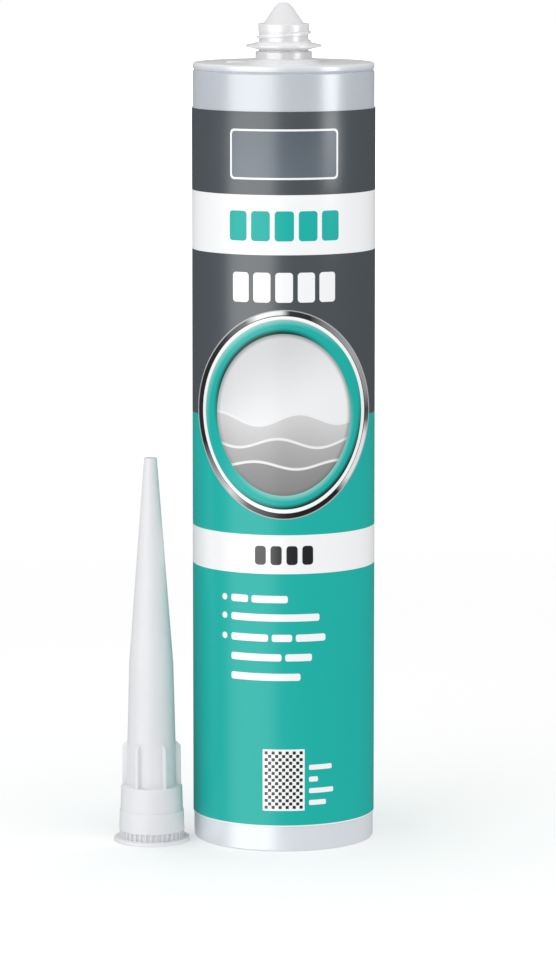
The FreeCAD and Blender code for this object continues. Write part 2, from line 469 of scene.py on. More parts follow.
def thread_tree():
    """Right-handed screw ridge that rises about the Z axis and fades out at its two ends."""
    tree, given, out = new_tree(
        "Screw thread",
        "GeometryNodeTree",
        [
            ("Geometry", "Geometry", None),
            ("Radius", "Float", 0.007),
            ("Turns", "Float", 1.0),
            ("Pitch", "Float", 0.0025),
            ("Foot", "Float", 0.0011),
            ("Crest", "Float", 0.0005),
            ("Depth", "Float", 0.0007),
            ("Fade", "Float", 0.06),
            ("Steps", "Int", 96),
            ("Material", "Material", None),
        ],
        [("Geometry", "Geometry")],
    )
    rise = calc(tree, "MULTIPLY", given["Turns"], given["Pitch"])
    round_wall = (given["Radius"], given["Radius"])
    spiral = add(tree, "GeometryNodeCurveSpiral", given["Steps"], given["Turns"], *round_wall, rise, True)
    upright = add(tree, "GeometryNodeSetCurveNormal", spiral, mode="Z_UP")
    section = tree.nodes.new("GeometryNodeCurvePrimitiveQuadrilateral")
    section.mode = "POINTS"
    deep = given["Depth"]
    corners = ((0.0, "Foot", -0.5), (deep, "Crest", -0.5), (deep, "Crest", 0.5), (0.0, "Foot", 0.5))
    for place, (out_by, width, side) in enumerate(corners, 1):
        corner = add(tree, "ShaderNodeCombineXYZ", out_by, calc(tree, "MULTIPLY", given[width], side), 0.0)
        feed(tree, section.inputs[f"Point {place}"], corner)
    along = add(tree, "GeometryNodeSplineParameter").outputs["Factor"]
    from_end = calc(tree, "MINIMUM", along, calc(tree, "SUBTRACT", 1.0, along))
    size = ramp(tree, from_end, 0.0, given["Fade"], 0.25, 1.0, smooth=True)
    ridge = add(tree, "GeometryNodeCurveToMesh", upright, section, size, True)
    dress(tree, given, out, add(tree, "GeometryNodeRealizeInstances", ridge))
    return tree


def print_tree():
    """Rows of a flat printed shape, wrapped round the barrel's front.
    X runs along the film, Y up the barrel and Z out of the film. With Seen Flat at 1,
    X is counted straight across the barrel, so that a shape keeps its form from the front."""
    tree, given, out = new_tree(
        "Wrapped print",
        "GeometryNodeTree",
        [
            ("Geometry", "Geometry", None),
            ("Columns", "Int", 1),
            ("Rows", "Int", 1),
            ("Step Across", "Float", 0.001),
            ("Step Up", "Float", 0.001),
            ("Every", "Int", 1),
            ("Film Radius", "Float", 0.025),
            ("Seen Flat", "Float", 0.0),
            ("Material", "Material", None),
        ],
        [("Geometry", "Geometry")],
    )
    number = add(tree, "GeometryNodeInputIndex")
    column = calc(tree, "MODULO", number, given["Columns"])
    row = calc(tree, "FLOOR", calc(tree, "DIVIDE", calc(tree, "ADD", number, 0.001), given["Columns"]))
    place = add(
        tree,
        "ShaderNodeCombineXYZ",
        calc(tree, "MULTIPLY", column, given["Step Across"]),
        calc(tree, "MULTIPLY", row, given["Step Up"]),
        0.0,
    )
    total = calc(tree, "MULTIPLY", given["Columns"], given["Rows"])
    points = add(tree, "GeometryNodePoints", total, place)
    turn_of = calc(tree, "MODULO", calc(tree, "ADD", column, row), given["Every"])
    chosen = calc(tree, "LESS_THAN", turn_of, 0.5)
    copies = add(tree, "GeometryNodeInstanceOnPoints", points, chosen, given["Geometry"])
    real = add(tree, "GeometryNodeRealizeInstances", copies)
    flat = add(tree, "ShaderNodeSeparateXYZ", add(tree, "GeometryNodeInputPosition"))
    along = calc(tree, "DIVIDE", flat.outputs["X"], given["Film Radius"])
    straight = calc(tree, "ARCSINE", along)
    angle = add(tree, "ShaderNodeMix", given["Seen Flat"], None, along, straight).outputs[0]
    reach = calc(tree, "ADD", given["Film Radius"], flat.outputs["Z"])
    wrapped = add(
        tree,
        "ShaderNodeCombineXYZ",
        calc(tree, "MULTIPLY", reach, calc(tree, "SINE", angle)),
        calc(tree, "MULTIPLY", calc(tree, "MULTIPLY", reach, calc(tree, "COSINE", angle)), -1.0),
        flat.outputs["Y"],
    )
    dress(tree, given, out, add(tree, "GeometryNodeSetPosition", real, None, wrapped))
    return tree


# Shared shader groups

def position_group():
    """Where a point lies on the label: across it, up from a centre, and about that centre."""
    tree, given, out = new_tree(
        "Label position",
        "ShaderNodeTree",
        [("Position", "Vector", None), ("Squeeze", "Float", 1.0), ("Centre", "Float", 0.1)],
        [("Across", "Float"), ("Up", "Float"), ("Distance", "Float"), ("Turn", "Float")],
    )
    point = add(tree, "ShaderNodeSeparateXYZ", given["Position"]).outputs
    across = calc(tree, "DIVIDE", point["X"], given["Squeeze"])
    up = calc(tree, "SUBTRACT", point["Z"], given["Centre"])
    flat = add(tree, "ShaderNodeCombineXYZ", across, up, 0.0)
    away = add(tree, "ShaderNodeVectorMath", flat, operation="LENGTH").outputs["Value"]
    angle = calc(tree, "DIVIDE", calc(tree, "ARCTAN2", up, across), math.tau)
    turned_by = calc(tree, "FRACT", calc(tree, "ADD", angle, 1.0))
    join(tree, (across, up, away, turned_by), out)
    return tree


def scuff_group():
    """Faint handling marks: short level scratches and smudges, as a mask."""
    tree, given, out = new_tree(
        "Handling marks",
        "ShaderNodeTree",
        [("Position", "Vector", None), ("Amount", "Float", 0.3)],
        [("Mask", "Float")],
    )
    scratches = noise(tree, stretched(tree, given["Position"], 120.0, 120.0, 1500.0), 1.0, 3.0, 0.6)
    smudges = noise(tree, given["Position"], 70.0, 3.0, 0.55)
    fine = ramp(tree, scratches, 0.62, 0.8, smooth=True)
    broad = ramp(tree, smudges, 0.45, 0.75, smooth=True)
    both = calc(tree, "ADD", calc(tree, "MULTIPLY", fine, 0.6), calc(tree, "MULTIPLY", broad, 0.5))
    join(tree, [calc(tree, "MULTIPLY", both, given["Amount"], clamp=True)], out)
    return tree


def plastic_group(marks):
    """Injection-moulded plastic: cloudy colour, uneven gloss, flow ripples and fine grain."""
    tree, given, out = new_tree(
        "Moulded plastic",
        "ShaderNodeTree",
        [
            ("Position", "Vector", None),
            ("Colour", "Color", (0.8, 0.8, 0.8, 1.0)),
            ("Cloud", "Float", 0.03),
            ("Roughness", "Float", 0.35),
            ("Grain", "Float", 900.0),
            ("Marks", "Float", 0.3),
        ],
        [("Colour", "Color"), ("Roughness", "Float"), ("Height", "Float")],
    )
    cloud = noise(tree, given["Position"], 45.0, 4.0, 0.55)
    flow = noise(tree, stretched(tree, given["Position"], 260.0, 260.0, 40.0), 1.0, 2.0, 0.5)
    grain = noise(tree, given["Position"], given["Grain"], 2.0, 0.5)
    level = ramp(tree, cloud, 0.3, 0.7, -1.0, 1.0)
    change = calc(tree, "MULTIPLY", level, given["Cloud"])
    tint = grey(tree, calc(tree, "ADD", change, 1.0))
    mixed = blend_colours(tree, 1.0, given["Colour"], tint, "MULTIPLY")
    mask = add(tree, "ShaderNodeGroup", given["Position"], given["Marks"], node_tree=marks)
    worn = calc(tree, "MULTIPLY_ADD", mask, 0.22, given["Roughness"])
    rough = calc(tree, "MULTIPLY_ADD", calc(tree, "SUBTRACT", flow, 0.5), 0.08, worn, clamp=True)
    relief = calc(tree, "MULTIPLY_ADD", flow, 0.5, calc(tree, "MULTIPLY", grain, 0.35))
    scratched = calc(tree, "SUBTRACT", relief, calc(tree, "MULTIPLY", mask, 0.3))
    join(tree, (mixed, rough, scratched), out)
    return tree


def film_group(marks):
    """Printed plastic film: fine ink mottle, level stretch ripples and uneven gloss."""
    tree, given, out = new_tree(
        "Printed film",
        "ShaderNodeTree",
        [
            ("Position", "Vector", None),
            ("Ink", "Color", (0.5, 0.5, 0.5, 1.0)),
            ("Mottle", "Float", 0.03),
            ("Roughness", "Float", 0.35),
            ("Marks", "Float", 0.3),
        ],
        [("Colour", "Color"), ("Roughness", "Float"), ("Height", "Float")],
    )
    mottle = noise(tree, given["Position"], 1400.0, 2.0, 0.6)
    drift = noise(tree, given["Position"], 30.0, 2.0, 0.5)
    ripple = noise(tree, stretched(tree, given["Position"], 60.0, 60.0, 18.0), 1.0, 2.0, 0.45)
    spread = calc(tree, "ADD", calc(tree, "MULTIPLY", mottle, 0.6), calc(tree, "MULTIPLY", drift, 0.8))
    change = calc(tree, "MULTIPLY", calc(tree, "SUBTRACT", spread, 0.7), given["Mottle"])
    tint = grey(tree, calc(tree, "MULTIPLY_ADD", change, 2.0, 1.0))
    mixed = blend_colours(tree, 1.0, given["Ink"], tint, "MULTIPLY")
    mask = add(tree, "ShaderNodeGroup", given["Position"], given["Marks"], node_tree=marks)
    rough = calc(tree, "MULTIPLY_ADD", mask, 0.2, given["Roughness"], clamp=True)
    relief = calc(tree, "ADD", ripple, calc(tree, "MULTIPLY", mottle, 0.02))
    join(tree, (mixed, rough, relief), out)
    return tree


class Kit:
    """Trees, groups and materials that the operators share."""

    trees = {}
    materials = {}


def tree_for(name, make, *needs):
    """Shared node tree, built the first time that it is asked for."""
    if name not in Kit.trees:
        Kit.trees[name] = make(*needs)
    return Kit.trees[name]


def marks_tree():
    """Shared group of handling marks."""
    return tree_for("marks", scuff_group)


def surface(name, group, group_inputs, bump, **constants):
    """Principled material whose colour, roughness and relief come from a shared group.
    group_inputs is called with the tree and gives the values of the group's named inputs."""
    if name in Kit.materials:
        return Kit.materials[name]
    material = bpy.data.materials.new(name)
    tree = emptied(material)
    shader = tree.nodes.new("ShaderNodeBsdfPrincipled")
    for label, value in constants.items():
        shader.inputs[label.replace("_", " ")].default_value = value
    place = tree.nodes.new("ShaderNodeTexCoord").outputs["Object"]
    used = add(tree, "ShaderNodeGroup", node_tree=group)
    feed(tree, used.inputs["Position"], place)
    for label, value in group_inputs(tree, place).items():
        feed(tree, used.inputs[label], value)
    raised = add(tree, "ShaderNodeBump", Strength=1.0, Distance=bump, Height=used.outputs["Height"])
    links = {"Base Color": used.outputs["Colour"], "Roughness": used.outputs["Roughness"], "Normal": raised}
    for label, value in links.items():
        feed(tree, shader.inputs[label], value)
    add(tree, "ShaderNodeOutputMaterial", shader)
    Kit.materials[name] = material
    return material


def plastic(
    name, colour_value, roughness, cloud=0.02, grain=900.0, marks=0.3, bump=2e-5, drawn=None, **constants
):
    """Moulded plastic of one colour, or of a colour that drawn makes from the place on the piece."""
    group = tree_for("plastic", plastic_group, marks_tree())

    def values(tree, place):
        made = drawn(tree, place) if drawn else colour_value
        return {"Colour": made, "Cloud": cloud, "Roughness": roughness, "Grain": grain, "Marks": marks}

    return surface(name, group, values, bump, **constants)


def ink(name, colour_value, finish, drawn=None, gloss=None):
    """Printed film of one colour, or of a colour that drawn makes from the place on the label."""
    group = tree_for("film", film_group, marks_tree())
    gloss = finish.film_gloss if gloss is None else gloss

    def values(tree, place):
        made = drawn(tree, place) if drawn else colour_value
        return {"Ink": made, "Mottle": 0.02, "Roughness": finish.film_roughness, "Marks": 0.3}

    return surface(name, group, values, FILM_RELIEF, IOR=FILM_IOR, Specular_IOR_Level=gloss)


def soft(weight, *reach):
    """Light that soaks in: its share, and how far its red, green and blue go."""
    return {"Subsurface_Weight": weight, "Subsurface_Radius": reach, "Subsurface_Scale": 1.0}


# Mesh helpers

def piece(name, data):
    """Object of a mesh, lamp or camera, linked to the scene and at the origin."""
    made = bpy.data.objects.new(name, data)
    bpy.context.scene.collection.objects.link(made)
    return made


def mesh_of(name, shape, clean=True):
    """Mesh of a bmesh, with its faces turned outwards."""
    if clean:
        bmesh.ops.recalc_face_normals(shape, faces=shape.faces[:])
    mesh = bpy.data.meshes.new(name)
    shape.to_mesh(mesh)
    shape.free()
    return mesh


def rounded(corners, steps=5):
    """Points of a profile whose (radius, height, fillet) corners are rounded off."""
    points = []
    for index, (radius, level, fillet) in enumerate(corners):
        here = Vector((radius, level))
        if not fillet:
            points.append(here)
            continue
        before = Vector(corners[index - 1][:2]) - here
        after = Vector(corners[(index + 1) % len(corners)][:2]) - here
        reach = min(
            fillet / math.tan(before.angle(after) / 2), 0.48 * before.length, 0.48 * after.length
        )
        start = here + before.normalized() * reach
        end = here + after.normalized() * reach
        for step in range(steps + 1):
            t = step / steps
            points.append(start * (1 - t) ** 2 + here * 2 * t * (1 - t) + end * t * t)
    return points


def bridge(shape, low, high, segments):
    """Faces between two rings, either of which may be a single point."""
    if len(low) == len(high) == 1:
        return
    for number in range(segments):
        after = (number + 1) % segments
        corners = (
            low[number % len(low)],
            low[after % len(low)],
            high[after % len(high)],
            high[number % len(high)],
        )
        shape.faces.new(list(dict.fromkeys(corners)))


def add_columns(shape, grid):
    """Closed solid through like columns of points. The faces along it come back in order."""
    sides = []
    for here, after in zip(grid, grid[1:]):
        for number in range(len(here)):
            following = (number + 1) % len(here)
            corners = (here[number], after[number], after[following], here[following])
            sides.append(shape.faces.new(corners))
    shape.faces.new(grid[0])
    shape.faces.new(grid[-1][::-1])
    return sides


def turned(name, corners, segments=192):
    """Closed solid of revolution about the Z axis."""
    shape = bmesh.new()
    rings = []
    for point in rounded(corners):
        if point.x < 1e-7:
            rings.append([shape.verts.new((0, 0, point.y))])
            continue
        ring = []
        for number in range(segments):
            angle = math.tau * number / segments
            ring.append(shape.verts.new((point.x * math.cos(angle), point.x * math.sin(angle), point.y)))
        rings.append(ring)
    for low, high in zip(rings, rings[1:] + rings[:1]):
        bridge(shape, low, high, segments)
    return mesh_of(name, shape)


def plate(name, outline, thickness, edge=0.0):
    """Upright plate through the Z axis: an outline of (radius, height) with a thickness across Y."""
    shape = bmesh.new()
    sides = []
    for side in (-1, 1):
        sides.append([shape.verts.new((radius, side * thickness / 2, level)) for radius, level in outline])
    near, far = sides
    shape.faces.new(near)
    shape.faces.new(far[::-1])
    for number in range(len(outline)):
        after = (number + 1) % len(outline)
        shape.faces.new((near[after], near[number], far[number], far[after]))
    bmesh.ops.recalc_face_normals(shape, faces=shape.faces[:])
    if edge:
        bmesh.ops.bevel(
            shape,
            geom=shape.edges[:],
            offset=edge,
            segments=2,
            profile=0.5,
            affect="EDGES",
            clamp_overlap=True,
        )
    return mesh_of(name, shape)


def add_slab(shape, columns, low, high):
    """Adds a closed slab between two levels of Z from its columns of (x, lowest y, highest y)."""
    grid = []
    for x, bottom, top in columns:
        corners = ((bottom, high), (top, high), (top, low), (bottom, low))
        grid.append([shape.verts.new((x, y, level)) for y, level in corners])
    add_columns(shape, grid)


def bar_columns(x, y, width, tall, corner, step=0.0008):
    """Columns of a bar with rounded corners about its centre."""
    corner = min(corner, 0.48 * width, 0.48 * tall)
    turns = [math.pi / 2 * number / 4 for number in range(5)]
    arc = [(corner * (1 - math.cos(t)), corner * (1 - math.sin(t))) for t in turns]
    left = x - width / 2
    ends = [(left + across, inset) for across, inset in arc]
    pieces = max(1, math.ceil((width - 2 * corner) / step))
    middle = [(left + corner + (width - 2 * corner) * n / pieces, 0.0) for n in range(1, pieces)]
    others = [(left + width - across, inset) for across, inset in reversed(arc)]
    return [(px, y - tall / 2 + inset, y + tall / 2 - inset) for px, inset in ends + middle + others]


def bars_mesh(name, bars, low, high):
    """Flat mesh of rounded bars, each of them (x, y, width, tall, corner)."""
    shape = bmesh.new()
    for bar in bars:
        add_slab(shape, bar_columns(*bar), low, high)
    return mesh_of(name, shape)


def round_mesh(name, centres, inner, outer, low, high, segments=180, step=0.0009):
    """Flat mesh of closed discs or rings about the (x, y) centres."""
    shape = bmesh.new()
    rings = max(1, math.ceil((outer - inner) / step))
    radii = [inner + (outer - inner) * number / rings for number in range(rings + 1)]
    for x, y in centres:
        sides = []
        for level in (high, low):
            side = []
            for radius in radii:
                if radius == 0:
                    side.append([shape.verts.new((x, y, level))])
                    continue
                ring = []
                for number in range(segments):
                    angle = math.tau * number / segments
                    place = (x + radius * math.cos(angle), y + radius * math.sin(angle), level)
                    ring.append(shape.verts.new(place))
                side.append(ring)
            sides.append(side)
        front, back = sides
        loop = front + back[::-1]
        for here, after in zip(loop, loop[1:] + loop[:1]):
            bridge(shape, after, here, segments)
    return mesh_of(name, shape)


def modified(name, mesh, tree, **inputs):
    """Plain mesh that a geometry tree makes of a mesh."""
    holder = piece(name, mesh)
    modifier = holder.modifiers.new("Shape", "NODES")
    modifier.node_group = tree
    for item in tree.interface.items_tree:
        if item.item_type == "SOCKET" and item.in_out == "INPUT":
            key = item.name.replace(" ", "_").lower()
            if key in inputs:
                modifier[item.identifier] = inputs[key]
    made = evaluated(holder)
    bpy.data.objects.remove(holder)
    return made


def evaluated(holder):
    """Copy of an object's mesh with its modifiers applied."""
    graph = bpy.context.evaluated_depsgraph_get()
    graph.update()
    return bpy.data.meshes.new_from_object(holder.evaluated_get(graph), depsgraph=graph)


def is_closed(mesh):
    """Whether every edge of a mesh has just two faces."""
    shape = bmesh.new()
    shape.from_mesh(mesh)
    good = len(shape.faces) > 0 and all(edge.is_manifold for edge in shape.edges)
    shape.free()
    return good


def united(name, mesh, parts):
    """Mesh and its parts grown into one closed skin."""
    holder = piece(name, mesh)
    helpers = []
    for number, part in enumerate(parts):
        helper = piece(f"{name}_part_{number}", part)
        helpers.append(helper)
        modifier = holder.modifiers.new("Join", "BOOLEAN")
        modifier.operation = "UNION"
        modifier.solver = "MANIFOLD"
        modifier.object = helper
    made = evaluated(holder)
    for used in helpers + [holder]:
        bpy.data.objects.remove(used)
    if not is_closed(made):
        raise RuntimeError(f"{name} did not grow into one closed skin")
    return made


def finish_mesh(mesh, *materials, sharp=35.0):
    """Gives a mesh its materials, and smooth faces between its sharp edges."""
    slots = [polygon.material_index for polygon in mesh.polygons]
    mesh.materials.clear()
    for material in materials:
        mesh.materials.append(material)
    for polygon, number in zip(mesh.polygons, slots):
        polygon.material_index = min(number, len(materials) - 1)
    mesh.shade_smooth()
    mesh.set_sharp_from_angle(angle=math.radians(sharp))
    return mesh


def seated(name, mesh, body, slot, *nodes):
    """Piece on its body, which hides the CAD nodes that it stands for. The finish given as slot is not
    used.
    """
    made = piece(name, mesh)
    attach(made, body)
    if nodes:
        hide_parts(*nodes)
    return made


# Pieces

def thread_mesh(name, size, radius, turns, inward=False):
    """Screw ridge on a round wall that starts at height nought."""
    sign = -1.0 if inward else 1.0
    return modified(
        name,
        bpy.data.meshes.new(name),
        tree_for("thread", thread_tree),
        radius=radius - sign * size.bite,
        turns=turns,
        pitch=size.pitch,
        foot=size.ridge,
        crest=size.crest,
        depth=sign * (size.depth + size.bite),
        fade=0.08 / turns,
        steps=96,
    )


def barrel_corners(size):
    """Barrel's section: outside from the foot to the tip, then inside back down."""
    bore = size.radius - size.wall
    top = size.height
    neck_top = top + size.neck_height
    tip_top = neck_top + size.tip_height
    groove = top - size.rim_height
    collar = top + size.collar_height
    return [
        (bore + size.mouth_bevel, 0, 0.0001),
        (size.radius, 0, 0.0005),
        (size.radius, groove - size.groove_width, 0.0003),
        (size.radius - size.groove_depth, groove - size.groove_width / 2, 0.00012),
        (size.radius, groove, 0.0003),
        (size.radius, top, 0.0008),
        (size.boss_radius, top, 0.0003),
        (size.boss_radius - size.boss_height, top + size.boss_height, 0.0003),
        (size.foot_radius, top + size.boss_height, 0.0002),
        (size.foot_radius, top + size.foot_height, 0.0003),
        (size.neck_radius, top + size.foot_height, 0.0001),
        (size.neck_radius, collar - size.collar_root / 2, 0.0002),
        (size.collar_radius, collar - size.collar_edge / 2, 0.0002),
        (size.collar_radius, collar + size.collar_edge / 2, 0.0002),
        (size.neck_radius, collar + size.collar_root / 2, 0.0003),
        (size.neck_radius, neck_top - size.band_height, 0.0001),
        (size.band_radius, neck_top - size.band_height, 0.0001),
        (size.band_radius, neck_top, 0.0003),
        (size.tip_radius, neck_top, 0.0004),
        (size.tip_apex, tip_top - size.tip_apex / 2, 0.0008),
        (size.tip_apex / 2, tip_top, 0.0008),
        (0, tip_top, 0),
        (0, tip_top - size.tip_wall, 0),
        (size.tip_apex - size.tip_wall, tip_top - size.tip_apex / 2 - size.tip_wall / 2, 0.0004),
        (size.neck_bore, neck_top - size.tip_wall, 0.0004),
        (size.neck_bore, top - size.shoulder, 0.0004),
        (bore, top - size.shoulder, 0.0006),
        (bore, size.mouth_depth, 0.0003),
    ]


def nozzle_corners(size):
    """Nozzle's section: outside from the flange to the tip, then inside back down."""
    grip_top = size.flange_thickness + size.grip_height
    stepped = size.skirt_radius - size.skirt_taper - size.skirt_step
    wing_top = size.wing_height + size.wing_slope
    return [
        (size.socket_radius, 0, 0.0002),
        (size.flange_radius, 0, 0.0003),
        (size.flange_radius, size.flange_thickness, 0.0003),
        (size.grip_radius, size.flange_thickness, 0.0001),
        (size.grip_radius, grip_top, 0.0001),
        (size.skirt_radius, grip_top, 0.0003),
        (size.skirt_radius - size.skirt_taper, size.skirt_step_height, 0.00008),
        (stepped, size.skirt_step_height, 0.00006),
        (stepped - size.skirt_taper, size.skirt_height, 0.0005),
        (size.cone_radius, size.skirt_height, 0.0005),
        (size.cone_radius - size.wing_taper, wing_top, 0.002),
        (size.waist_radius, size.waist_height, 0.02),
        (size.tip_radius, size.height, 0.0002),
        (size.tip_bore, size.height, 0.0001),
        (size.tip_bore, size.height - size.tip_land, 0.002),
        (size.waist_radius - size.wall, size.waist_height, 0.02),
        (size.cone_radius - size.wall, size.socket_depth, 0.0003),
        (size.socket_radius, size.socket_depth, 0.0003),
    ]


class CARTRIDGE_OT_barrel(bpy.types.Operator):
    """Builds the barrel with its rim, shoulder, threaded neck and closed tip"""

    bl_idname = "cartridge.barrel"
    bl_label = "Barrel"

    def execute(self, context):
        size = context.scene.cartridge_barrel
        thread = context.scene.cartridge_thread
        finish = context.scene.cartridge_finish
        ridge = thread_mesh("barrel_thread", thread, size.neck_radius, thread.neck_turns)
        thread_foot = size.height + size.neck_height - size.band_height - thread.neck_turns * thread.pitch
        ridge.transform(Matrix.Rotation(thread.neck_start, 4, "Z"))
        ridge.transform(Matrix.Translation((0, 0, thread_foot)))
        start = size.boss_radius - size.boss_height
        end = size.boss_radius + size.mark_reach
        mark = plate(
            "barrel_mark",
            [
                (start, size.height - size.shoulder / 2),
                (end, size.height - size.shoulder / 2),
                (end, size.height),
                (end - size.mark_height, size.height + size.mark_height),
                (start, size.height + size.mark_height),
            ],
            size.mark_width,
            0.00012,
        )
        mark.transform(Matrix.Rotation(size.mark_turn, 4, "Z"))
        skin = turned("barrel_body", barrel_corners(size))
        grown = united("barrel_body", skin, [ridge, mark])

        def wall_colour(tree, place):
            level = add(tree, "ShaderNodeSeparateXYZ", place).outputs["Z"]
            # Painted light: the wall turns lighter towards the open end, standing in for light from the
            # floor.
            floor_light_share = ramp(tree, level, LABEL_LOW.z, 2 * LABEL_LOW.z, 1.0, 0.0, smooth=True)
            rim = size.height - size.rim_height
            near_neck = ramp(tree, level, rim - size.groove_width, size.height, smooth=True)
            made = blend_colours(tree, floor_light_share, finish.barrel, finish.foot)
            return blend_colours(tree, near_neck, made, finish.neck)

        material = plastic(
            "Barrel plastic",
            None,
            finish.barrel_roughness,
            drawn=wall_colour,
            IOR=1.9,
            Specular_IOR_Level=1.0,
            **soft(0.15, 0.0012, 0.0012, 0.0014),
        )
        seated("barrel_body", finish_mesh(grown, material), "cartridge", "barrel_plastic", "barrel")
        return {"FINISHED"}


class CARTRIDGE_OT_plunger(bpy.types.Operator):
    """Builds the plunger with its two lips and the gussets in its cup"""

    bl_idname = "cartridge.plunger"
    bl_label = "Plunger"

    def execute(self, context):
        size = context.scene.cartridge_plunger
        finish = context.scene.cartridge_finish
        rear, front = PLUNGER_LOW.z, PLUNGER_HIGH.z
        lip = size.lip_radius
        body = lip - size.relief
        cup = body - size.wall
        inner = front - size.face
        skin = turned(
            "plunger_body",
            [
                (cup, rear, 0.0002),
                (lip, rear, 0.0003),
                (lip, rear + size.lip_height, 0.0003),
                (body, rear + size.lip_height + size.relief, 0.0004),
                (body, front - size.lip_height - size.relief, 0.0004),
                (lip, front - size.lip_height, 0.0003),
                (lip, front, 0.0004),
                (0, front, 0),
                (0, inner, 0),
                (cup, inner, 0.0006),
            ],
        )
        gusset = plate(
            "plunger_gusset",
            [
                (cup - size.gusset_size, inner),
                (cup, inner - size.gusset_size),
                (cup + size.wall / 2, inner - size.gusset_size),
                (cup + size.wall / 2, inner + size.face / 2),
                (cup - size.gusset_size, inner + size.face / 2),
            ],
            size.gusset_thickness,
            0.00015,
        )
        gussets = modified("plunger_gussets", gusset, tree_for("ring", ring_tree), count=size.gussets)
        grown = united("plunger_body", skin, [gussets])
        material = plastic("Plunger plastic", finish.plunger, 0.45, **soft(0.1, 0.001, 0.001, 0.001))
        seated("plunger_body", finish_mesh(grown, material), "piston", "plunger_plastic", "plunger")
        return {"FINISHED"}


class CARTRIDGE_OT_sealant(bpy.types.Operator):
    """Builds the filling, which the plunger presses together"""

    bl_idname = "cartridge.sealant"
    bl_label = "Sealant"

    gap = 0.00003
    left_over = 0.0012

    def execute(self, context):
        finish = context.scene.cartridge_finish
        radius = SEALANT_HIGH.x - self.gap
        low, high = SEALANT_LOW.z + self.gap, SEALANT_HIGH.z - self.gap
        column = turned(
            "sealant_fill",
            [(0, low, 0), (radius, low, 0.0004), (radius, high, 0.0005), (0, high, 0)],
        )
        material = plastic(
            "Sealant paste",
            finish.sealant,
            0.5,
            grain=300.0,
            marks=0.0,
            bump=6e-5,
            **soft(0.2, 0.001, 0.001, 0.001),
        )
        finish_mesh(column, material)
        made = seated("sealant_fill", column, "cartridge", "sealant_paste", "sealant")
        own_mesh(made)
        return {"FINISHED"}


class CARTRIDGE_OT_label(bpy.types.Operator):
    """Builds the film of the label with its bands of colour and its seam at the back"""

    bl_idname = "cartridge.label"
    bl_label = "Label film"

    columns = 240

    def execute(self, context):
        size = context.scene.cartridge_label
        finish = context.scene.cartridge_finish
        outer = size.radius - size.ink
        inner = outer - size.film
        low, high = LABEL_LOW.z, LABEL_HIGH.z
        edge = size.film / 4
        levels = [low, low + edge, low + size.film_margin, size.list_band, size.foot_band]
        levels += [size.colour_change, size.grey_band, size.name_band, high - edge, high]
        teal, white, grey_ink = range(3)
        bands = (white, white, teal, white, teal, grey_ink, white, grey_ink, grey_ink)
        half_seam = size.seam / 2 / outer
        first, last = half_seam - math.pi, math.pi - half_seam
        shape = bmesh.new()
        grid = []
        for number in range(self.columns + 1):
            angle = first + (last - first) * number / self.columns
            side, back = math.sin(angle), -math.cos(angle)
            column = []
            for radius, places in ((outer, levels), (inner, levels[::-1])):
                for level in places:
                    reach = radius - edge / 2 if radius == outer and level in (low, high) else radius
                    column.append(shape.verts.new((reach * side, reach * back, level)))
            grid.append(column)
        for number, face in enumerate(add_columns(shape, grid)):
            place = number % (2 * len(levels))
            face.material_index = bands[place] if place < len(bands) else white
        film = mesh_of("label_film", shape)
        inks = (
            ink("Teal ink", finish.teal, finish, gloss=finish.teal_gloss),
            ink("White film", finish.white, finish),
            ink("Grey ink", finish.grey, finish),
        )
        seated("label_film", finish_mesh(film, *inks), "cartridge", "label_film", "label")
        return {"FINISHED"}


def printed(name, mesh, material, size, **layout):
    """Ink on the label: a flat mesh repeated and wrapped on the film."""
    made = modified(
        name,
        mesh,
        tree_for("print", print_tree),
        film_radius=size.radius - size.ink,
        material=material,
        **layout,
    )
    return seated(name, finish_mesh(made, material), "cartridge", "label_film")


def print_bars(name, bars, material, size, level=1.0, **layout):
    """Ink in the form of rounded bars, up to a share of the inks' full level."""
    mesh = bars_mesh(name, bars, -size.sink, size.ink * level)
    return printed(name, mesh, material, size, **layout)


def about_emblem(tree, place, size):
    """Outputs of the shared position group, centred on the emblem."""
    used = add(tree, "ShaderNodeGroup", node_tree=tree_for("position", position_group))
    feed(tree, used.inputs["Position"], place)
    used.inputs["Squeeze"].default_value = size.emblem_seen
    used.inputs["Centre"].default_value = size.emblem_height
    return used.outputs


def facing(tree, where, direction):
    """How far a point on the emblem lies towards a direction: 1 there, -1 on the other side."""
    return calc(tree, "COSINE", calc(tree, "MULTIPLY_ADD", where["Turn"], math.tau, -direction))


def greys(tree, value, stops):
    """Grey level that a ramp of (place, level) stops gives."""
    node = add(tree, "ShaderNodeValToRGB", value)
    elements = node.color_ramp.elements
    while len(elements) > 1:
        elements.remove(elements[-1])
    for number, (place, level) in enumerate(stops):
        stop = elements[0] if number == 0 else elements.new(place)
        stop.position = place
        stop.color = (level, level, level, 1.0)
    return node.outputs[0]


